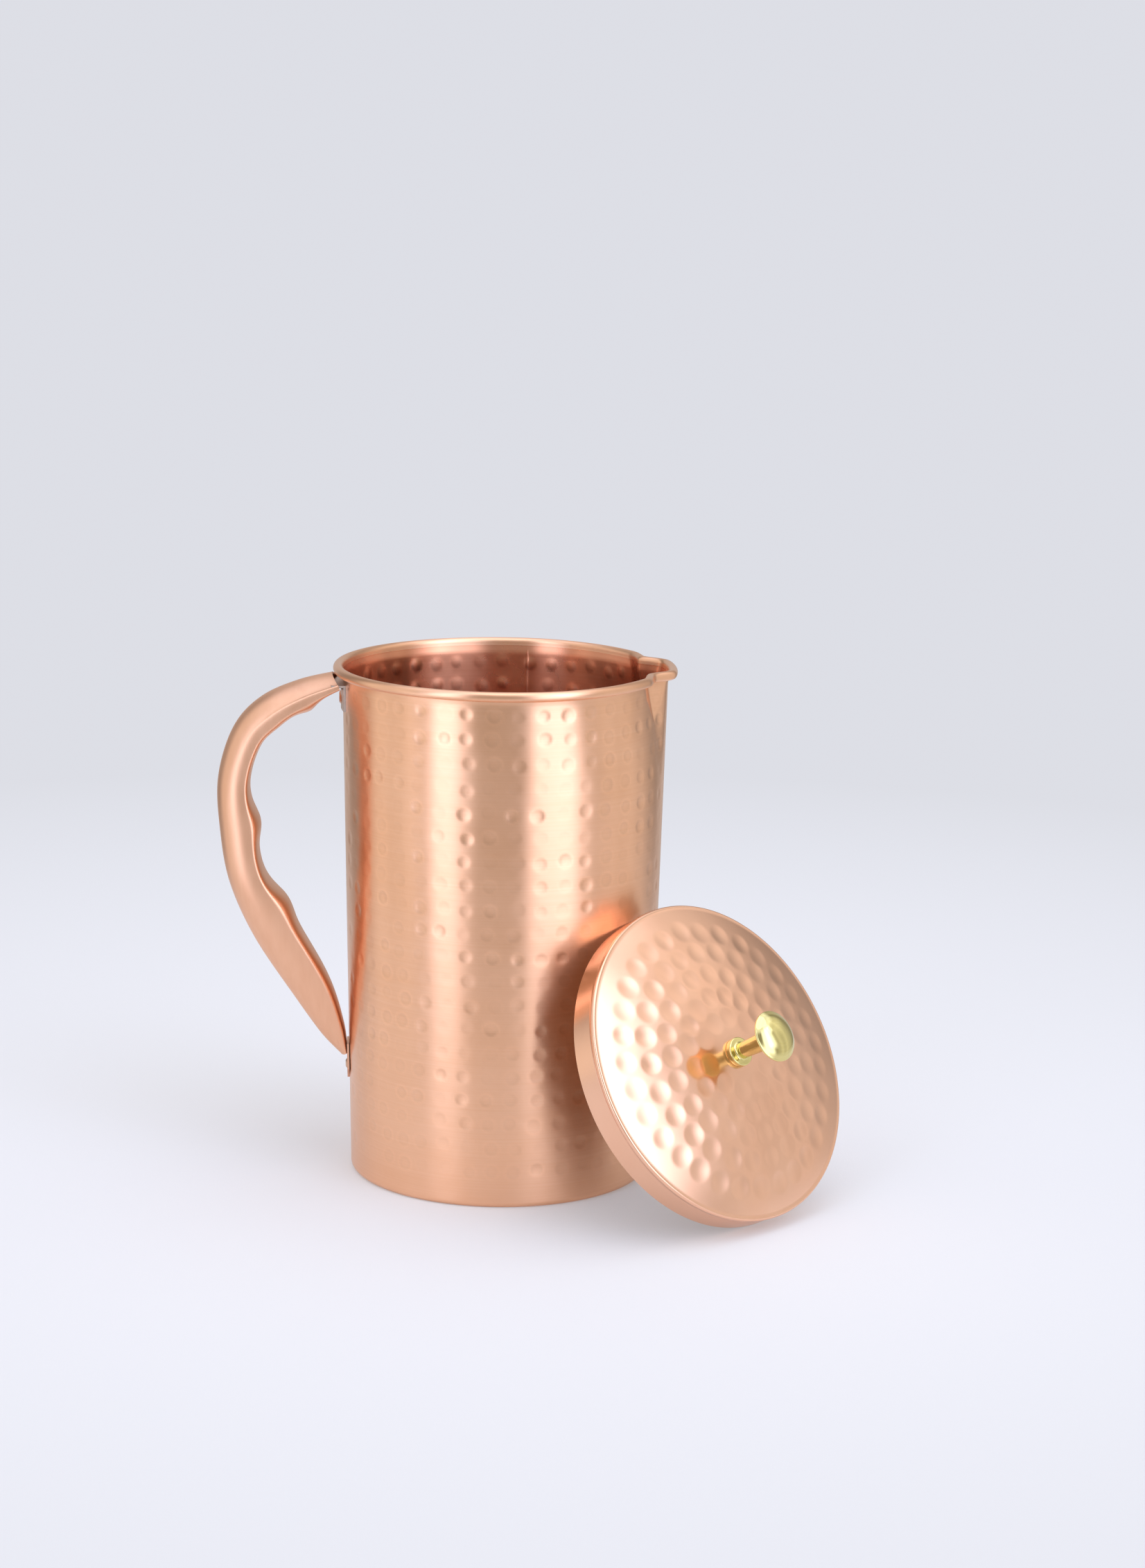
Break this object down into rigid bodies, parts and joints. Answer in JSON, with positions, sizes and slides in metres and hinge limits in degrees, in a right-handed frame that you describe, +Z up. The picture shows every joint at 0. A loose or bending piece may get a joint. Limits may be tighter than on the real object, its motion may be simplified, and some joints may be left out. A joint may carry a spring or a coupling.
{
  "type": "water jug",
  "caption": "Hammered copper water jug with a pinched pouring lip, a hollow finger-grip handle and a loose domed lid with a brass knob leaning on its wall.",
  "frame": {"origin": "centre of the jug's flat base, on the surface it stands on", "axes": "+Z up along the jug's axis, +X towards the pouring lip, handle towards -X, leaning lid towards +X -Y"},
  "size_m": [0.226, 0.1666, 0.188],
  "materials": {
    "wall_copper": "brushed copper with shallow hammered dimples",
    "base_copper": "brushed copper",
    "handle_copper": "satin copper",
    "tinned_copper": "satin copper with solder tinning",
    "rivet_copper": "satin",
    "lid_copper": "brushed copper with rings of hammered dents",
    "knob_brass": "polished brass",
    "screw_steel": "satin"
  },
  "bodies": {
    "jug": {"body_wall": "wall_copper", "base_plate": "base_copper", "handle_shell": "handle_copper", "upper_bracket": "tinned_copper", "lower_tab": "tinned_copper", "upper_rivets": "rivet_copper", "lower_rivet": "rivet_copper"},
    "lid": {"lid_cap": "lid_copper", "lid_knob": "knob_brass", "knob_washer": "screw_steel", "knob_screw": "screw_steel"}
  },
  "joints": [
    {"name": "lid_lift", "type": "slide", "parent": "jug", "child": "lid", "axis": [0.5886, -0.6423, 0.4909], "range_m": [0, 0.15]}
  ]
}
